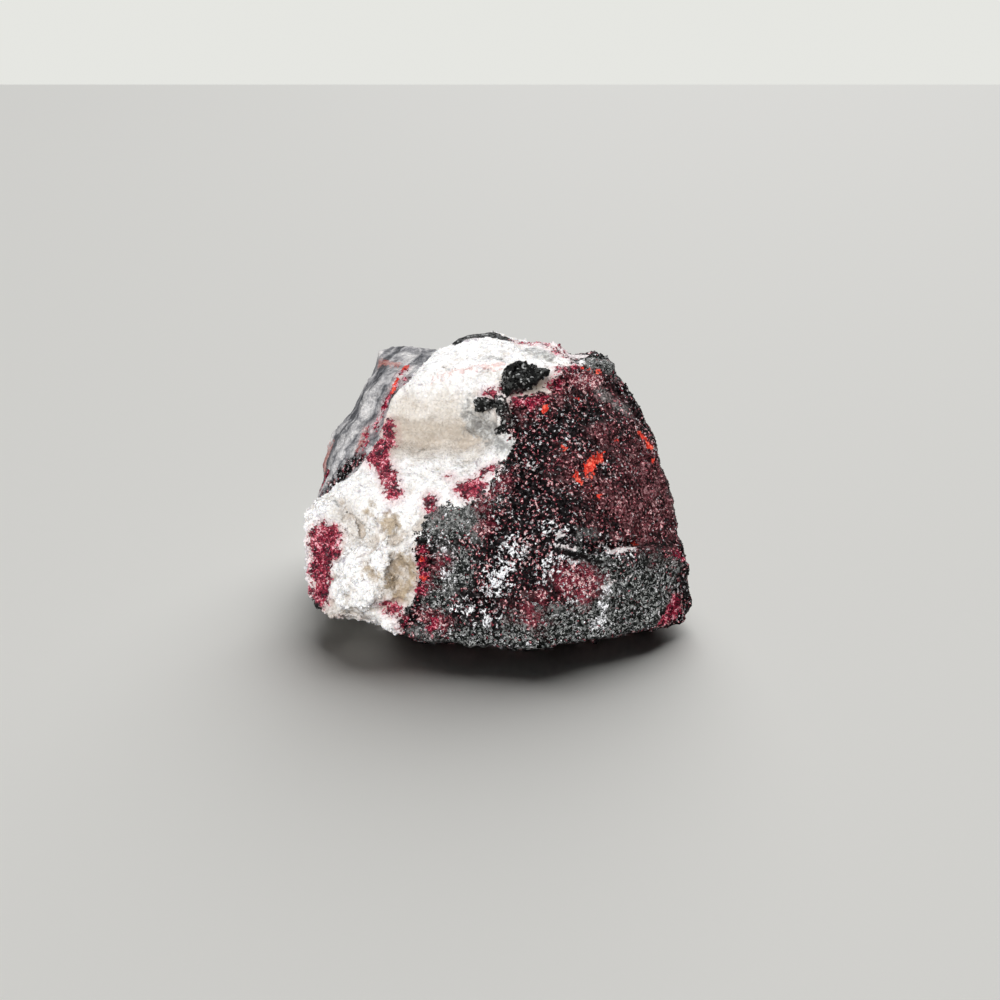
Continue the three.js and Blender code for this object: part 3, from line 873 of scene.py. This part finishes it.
veinLook = {
    "white": [(0.31, 0.48, 0.44, 0.47), (0.4, 0.78, 0.76, 0.76), (0.48, 0.9, 0.89, 0.88),
              (0.6, 0.93, 0.92, 0.91), (0.7, 0.6, 0.57, 0.59)],
    "smoke": [(0.36, 0.11, 0.11, 0.11), (0.5, 0.25, 0.25, 0.24), (0.62, 0.55, 0.55, 0.54)],
    # cream colours: partly the vein's own tint, partly painted shade
    "warm": ((0.46, 0.4, 0.33, 1), (0.59, 0.525, 0.45, 1)),
    # tan colours: the real tan facet, and painted shade in a hollow
    "brown": ((0.25, 0.17, 0.09, 1), (0.46, 0.35, 0.22, 1)),
    # colour of the painted shade
    "shadeColour": (0.42, 0.36, 0.3, 1),
    # painted shade in the vein's hollows and pits
    "hollowColour": (0.44, 0.36, 0.28, 1),
    "grimeColour": (0.24, 0.17, 0.16, 1),
    "shares": {"Cream": 0.95, "Shade": 0.75, "Tan": 0.85, "Hollow": 0.7, "Quartz": 0.85},
    "grimeShare": 0.6,
    "clear": {"Size": 0.8, "Tilt": 0.2},
    "cloud": (1.3, 5.0, 0.65, 1.2),
    "wisp": (1.0, 4.0, 0.6, 0.8),
    "grime": {"Size": 0.5, "Width": 0.05, "Level": 0.72, "Seed": 31.0},
    "relief": 0.75,
    "creamCalm": 0.4,    # how much of the relief cream takes away
    "roughness": (0.25, 0.6),
}


# White vein: quartz and calcite, sugary, with cream, brownish and grey translucent patches, and painted shade
# in its creases, pits and hollows; part of the cream and the brownish tan is painted shade too.
def veinGroup(grains, flecks):
    look = veinLook
    titles = ["Vector", "Other", "Grain", "Cream", "Shade", "Tan", "Quartz", "Hollow"]
    tree, given, result = newGroup("whiteVein", titles, ["Color", "Roughness", "Height"])
    vector = given["Vector"]
    clear = fillGroup(tree, grains, {"Vector": vector, **look["clear"]})
    grime = fillGroup(tree, flecks, {"Vector": vector, **look["grime"]})
    colours = {
        "Cream": mixColour(tree, given["Other"], *look["warm"]),
        "Shade": look["shadeColour"],
        "Tan": mixColour(tree, clear["Other"], *look["brown"]),
        "Hollow": look["hollowColour"],
        "Quartz": ramp(tree, noise(tree, vector, *look["wisp"]), look["smoke"]),
    }
    base = ramp(tree, noise(tree, vector, *look["cloud"]), look["white"])
    for title, colour in colours.items():
        base = cover(tree, base, given[title], look["shares"][title], colour)
    base = cover(tree, base, grime["Mask"], look["grimeShare"], look["grimeColour"])
    rough = minus(tree, look["relief"], times(tree, given["Cream"], look["creamCalm"]))
    bumps = times(tree, plus(tree, given["Grain"], clear["Height"]), rough)
    plugAll(tree, result, {"Color": base, "Height": bumps,
                           "Roughness": ease(tree, given["Other"], 0.0, 1.0, *look["roughness"])})
    return tree


slabLook = {
    "stripes": [(0.4, 0.09, 0.092, 0.1), (0.45, 0.2, 0.202, 0.215), (0.5, 0.36, 0.355, 0.365),
                (0.56, 0.57, 0.56, 0.565), (0.64, 0.78, 0.75, 0.735)],
    "grit": [(0, 0.6, 0.6, 0.6), (0.3, 0.9, 0.9, 0.9), (0.8, 1.2, 1.18, 1.16)],
    "gritShare": 0.7,
    "across": (-0.85, 0.35, 0.4),    # direction across the stripes
    "sway": (6.0, 2.0),
    "swayHeight": 6.0,
    "line": {"Scale": 0.4, "Detail": 3.0, "Roughness": 0.6},
    "patch": (2.6, 4.0, 0.6, 0.6),
    "patchShare": 0.5,
    "roughness": (0.5, 0.9),
}


# Striped slab: dark and pale grey layers that run up its face.
def slabGroup():
    look = slabLook
    titles = ["Vector", "Pick", "Other", "Grain"]
    tree, given, result = newGroup("stripedSlab", titles, ["Color", "Roughness", "Height"])
    vector = given["Vector"]
    sway = times(tree, noise(tree, vector, *look["sway"]), look["swayHeight"])
    place = plus(tree, vectorCalc(tree, "DOT_PRODUCT", vector, look["across"]), sway)
    line = addNode(tree, "TexNoise", {"W": place, **look["line"]}, noise_dimensions="1D").outputs["Fac"]
    tone = mixNumber(tree, look["patchShare"], line, noise(tree, vector, *look["patch"]))
    grit = stepped(tree, given["Pick"], look["grit"])
    colour = mixColour(tree, look["gritShare"], ramp(tree, tone, look["stripes"]), grit, "MULTIPLY")
    plugAll(tree, result, {"Color": colour, "Height": given["Grain"],
                           "Roughness": ease(tree, given["Other"], 0.0, 1.0, *look["roughness"])})
    return tree


cinnabarLook = {
    # crimson from dark to bright, whose palest pink stop is painted glints
    "deep": [(0.37, 0.03, 0.005, 0.01), (0.44, 0.09, 0.007, 0.019), (0.52, 0.25, 0.015, 0.038),
             (0.59, 0.52, 0.045, 0.085), (0.65, 0.86, 0.48, 0.54)],
    "bright": [(0, 0.5, 0.03, 0.02), (0.4, 0.74, 0.055, 0.035), (0.8, 0.85, 0.17, 0.11)],
    "peach": ((0.4, 0.06, 0.05, 1), (0.7, 0.32, 0.25, 1)),
    "peachShare": 0.5,
    "stainColour": (0.62, 0.2, 0.24, 1),
    "stainShare": 0.5,
    "clots": (1.3, 2.0),
    "clotHeight": 0.5,
    "grains": (0.4, 3.0, 0.65, 1.0),
}


# Cinnabar over any of the rocks: crimson along the contacts, vermilion grains, and stains round them.
def cinnabarGroup():
    look = cinnabarLook
    titles = ["Vector", "Rock", "Pick", "Crimson", "Vermilion", "Salmon", "Stain"]
    tree, given, result = newGroup("cinnabar", titles, ["Color"])
    clots = swing(tree, noise(tree, given["Vector"], *look["clots"]), look["clotHeight"])
    # The palest crimson is painted glints.
    deep = ramp(tree, plus(tree, noise(tree, given["Vector"], *look["grains"]), clots), look["deep"])
    peach = mixColour(tree, given["Pick"], *look["peach"])
    colour = cover(tree, given["Rock"], given["Stain"], look["stainShare"], look["stainColour"], "MULTIPLY")
    colour = cover(tree, colour, given["Salmon"], look["peachShare"], peach)
    colour = mixColour(tree, given["Crimson"], colour, deep)
    bright = stepped(tree, given["Pick"], look["bright"])
    plug(tree, mixColour(tree, given["Vermilion"], colour, bright), result["Color"])
    return tree


looks = {
    "grains": {"Size": 0.26, "Tilt": 0.5},
    "grit": (0.42, 2.0, 0.6, 0.4),
    "waves": {"fine": (0.8, 3.0, 0.6), "broad": (1.8, 3.0, 0.6)},
    "push": 5.0,    # mm that a full swing of the waves or the grit moves an edge
    "zones": {
        # wave that moves the edge, shares of the push for wave and grit, softness in mm
        "vein": ("fine", 0.6, 0.3, 0.06), "slab": ("broad", 0.4, 0.2, 0.2),
        "cream": ("broad", 0.5, 0, 2.6), "shade": ("broad", 0.4, 0, 2.2),
        "crimson": ("fine", 0.5, 0.4, 0.15), "rose": ("fine", 0.8, 0.3, 1.0),
        "vermilion": ("fine", 0.5, 0.2, 0.06), "salmon": ("fine", 0.3, 0.4, 0.25),
        "haze": ("broad", 1.4, 0.3, 2.0), "frost": ("fine", 1.1, 0.3, 0.9),
        "slate": ("broad", 0.8, 0.4, 0.8), "grey": ("fine", 0.5, 0.2, 0.6),
        "crack": ("fine", 0.25, 0.2, 0.15), "rim": ("fine", 0.12, 0.25, 0.12),
        "quartz": ("fine", 0.7, 0, 0.7), "dark": ("fine", 0.25, 0.12, 0.1),
        "dusk": ("fine", 0.8, 0.2, 0.6), "tan": ("fine", 0.6, 0.1, 0.5),
    },
    "stainReach": (-1.2, 0.0),    # depths over which a stain comes in round the crimson
    "stainShare": 0.6,
    "crackColour": (0.006, 0.005, 0.005, 1),
    "rimColour": (0.8, 0.74, 0.74, 1),
    # glow under the surface and specular level
    "matrixRock": (0, 0.05),
    "veinRock": (0.25, 0.4),
    "knobRock": (0, 0.18),
    "glowRadius": (1.0, 0.85, 0.65),
    "glowScale": 0.4,
}


def buildMaterials():
    grains = grainGroup()
    edges = raggedGroup()
    flecks = fleckGroup()
    rocks = [matrixGroup(flecks), veinGroup(grains, flecks), slabGroup()]
    red = cinnabarGroup()

    def makeMaterial(name):
        glow, shine = looks[name]
        material = bpy.data.materials.new(name)
        material.use_nodes = True
        tree = material.node_tree
        shader = tree.nodes["Principled BSDF"]
        vector = scaled(tree, addNode(tree, "TexCoord").outputs["Object"], 1 / mm)
        grain = fillGroup(tree, grains, {"Vector": vector, **looks["grains"]})
        grit = noise(tree, vector, *looks["grit"])
        waves = {title: noise(tree, vector, *wave) for title, wave in looks["waves"].items()}

        def depthOf(zone):
            return addNode(tree, "Attribute", attribute_name=zone).outputs["Fac"]

        # What the groups take, by the names of their inputs: the masks are there under their zones' names.
        ready = {"Vector": vector, "Pick": grain["Pick"], "Other": grain["Other"],
                 "Grain": grain["Height"], "Hollow": depthOf("hollow")}
        for zone, (wave, ragged, gritty, soft) in looks["zones"].items():
            edge = {"Depth": depthOf(zone), "Wave": waves[wave], "Grit": grit, "Ragged": ragged,
                    "Gritty": gritty, "Soft": soft}
            ready[zone.title()] = fillGroup(tree, edges, edge)["Mask"]

        def place(group):
            made = addNode(tree, "Group", node_tree=group)
            plugAll(tree, made.inputs, {title: ready[title] for title in made.inputs.keys()})
            return made.outputs

        matrix, vein, slab = (place(rock) for rock in rocks)
        white = times(tree, ready["Vein"], minus(tree, 1.0, ready["Dark"]))
        inSlab = times(tree, ready["Slab"], ready["Vein"])

        def layered(title, mixer):
            shown = mixer(tree, white, matrix[title], vein[title])
            # In the groove's painted shade the dark matrix shows instead of the slab's stripes.
            striped = mixer(tree, ready["Dusk"], slab[title], matrix[title])
            return mixer(tree, inSlab, shown, striped)

        # Pale rims over the rock: real streaks and painted highlight.
        ready["Rock"] = mixColour(tree, ready["Rim"], layered("Color", mixColour), looks["rimColour"])
        ready["Stain"] = times(tree, ease(tree, depthOf("crimson"), *looks["stainReach"]),
                               looks["stainShare"])
        # The cracks get their near-black painted shade over everything else.
        colour = mixColour(tree, ready["Crack"], place(red)["Color"], looks["crackColour"])
        height = times(tree, layered("Height", mixNumber), mm)
        bump = addNode(tree, "Bump", {"Strength": 1.0, "Distance": 1.0, "Height": height})
        plugAll(tree, shader.inputs, {
            "Base Color": colour, "Roughness": layered("Roughness", mixNumber),
            "Normal": bump.outputs["Normal"], "Specular IOR Level": shine, "Subsurface Weight": glow,
            "Subsurface Radius": looks["glowRadius"], "Subsurface Scale": looks["glowScale"] * mm,
        })
        return material

    made = [makeMaterial(name) for name in ("matrixRock", "veinRock", "knobRock")]
    print("materials done")
    return made


# Each face takes the rock that its first corner lies in.
def paint(piece, materials, depths):
    piece.data.materials.clear()
    for material in materials:
        piece.data.materials.append(material)
    corners = np.empty(len(piece.data.loops), int)
    piece.data.loops.foreach_get("vertex_index", corners)
    starts = np.empty(len(piece.data.polygons), int)
    piece.data.polygons.foreach_get("loop_start", starts)
    isVein = (depths["vein"] > 0) & (depths["slab"] < 0)
    kind = np.where(depths["dark"] > 0, 2, isVein.astype(int))    # matrix 0, vein 1, knob 2
    piece.data.polygons.foreach_set("material_index", kind[corners[starts]].astype(np.int32))
    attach(piece, "root")
    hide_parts("cinnabar_specimen")


piece = buildStone()
weights = addRelief(piece)
depths = measureZones(pointsOf(piece))
# The vein gets painted shade in its hollows and pits, as strongly as they lie deep.
depths["hollow"] = np.maximum(hollowShare(piece, *stone["hollows"]),
                              stone["pitShare"] * hollowShare(piece, *stone["pits"]))
storeZones(piece, depths)
materials = buildMaterials()
makeActive(piece)
bpy.ops.object.shade_smooth()
paint(piece, materials, depths)
pieces = [piece]
for name in growths:
    grown, ownDepths = growCrystals(name, piece, weights, depths)
    paint(grown, materials, ownDepths)
    pieces.append(grown)


stage = {
    "floorSize": 20,
    "floorColour": (0.87, 0.865, 0.83, 1),
    "floorRoughness": 0.8,
    "cameraPlace": (0.62 * mm, -121.46 * mm, 64 * mm),
    "cameraTilt": 67.1,
    "lens": 36.04,
    "sensor": 36,
    "nearest": 0.001,    # the camera sees nothing closer than this
    "backColour": (0.79, 0.795, 0.76, 1),
    "fillColour": (0.013, 0.013, 0.0135, 1),
    "key": ((0.1, 0.36, 0.41), 2.95, 62),    # place, strength, spread in degrees
    "fill": ((-0.15, -0.5, 0.3), 3.95, 48),
}


def buildFloor():
    deselectAll()
    bpy.ops.mesh.primitive_plane_add(size=stage["floorSize"])
    floor = bpy.context.object
    floor.name = "floor"
    material = bpy.data.materials.new("paleFloor")
    material.use_nodes = True
    shader = material.node_tree.nodes["Principled BSDF"]
    shader.inputs["Base Color"].default_value = stage["floorColour"]
    shader.inputs["Roughness"].default_value = stage["floorRoughness"]
    floor.data.materials.append(material)


def addSun(name, place, strength, spread):
    bpy.ops.object.light_add(type="SUN", location=place)
    sun = bpy.context.object
    sun.name = name
    sun.data.angle = math.radians(spread)
    sun.data.energy = strength
    sun.rotation_euler = (-sun.location).to_track_quat("-Z", "Y").to_euler()
    return sun


# A plain pale surround for the camera, and a weaker one that fills the shadows.
def buildLights(lit):
    world = bpy.data.worlds.new("studio")
    bpy.context.scene.world = world
    world.use_nodes = True
    tree = world.node_tree
    background = tree.nodes["Background"]
    seen = addNode(tree, "LightPath").outputs["Is Camera Ray"]
    plug(tree, mixColour(tree, seen, stage["fillColour"], stage["backColour"]), background.inputs["Color"])
    addSun("keyLight", *stage["key"])
    fill = addSun("fillLight", *stage["fill"])
    onlyStone = bpy.data.collections.new("onlyStone")    # the fill leaves the floor's shadow dark
    for shown in lit:
        onlyStone.objects.link(shown)
    fill.light_linking.receiver_collection = onlyStone


def buildCamera():
    tilt = math.radians(stage["cameraTilt"])
    bpy.ops.object.camera_add(location=stage["cameraPlace"], rotation=(tilt, 0, 0))
    camera = bpy.context.object
    camera.data.lens = stage["lens"]
    camera.data.sensor_width = stage["sensor"]
    camera.data.clip_start = stage["nearest"]
    bpy.context.scene.camera = camera


buildFloor()
buildLights(pieces)
buildCamera()
bpy.context.scene.view_settings.view_transform = "Standard"
print("stage done")
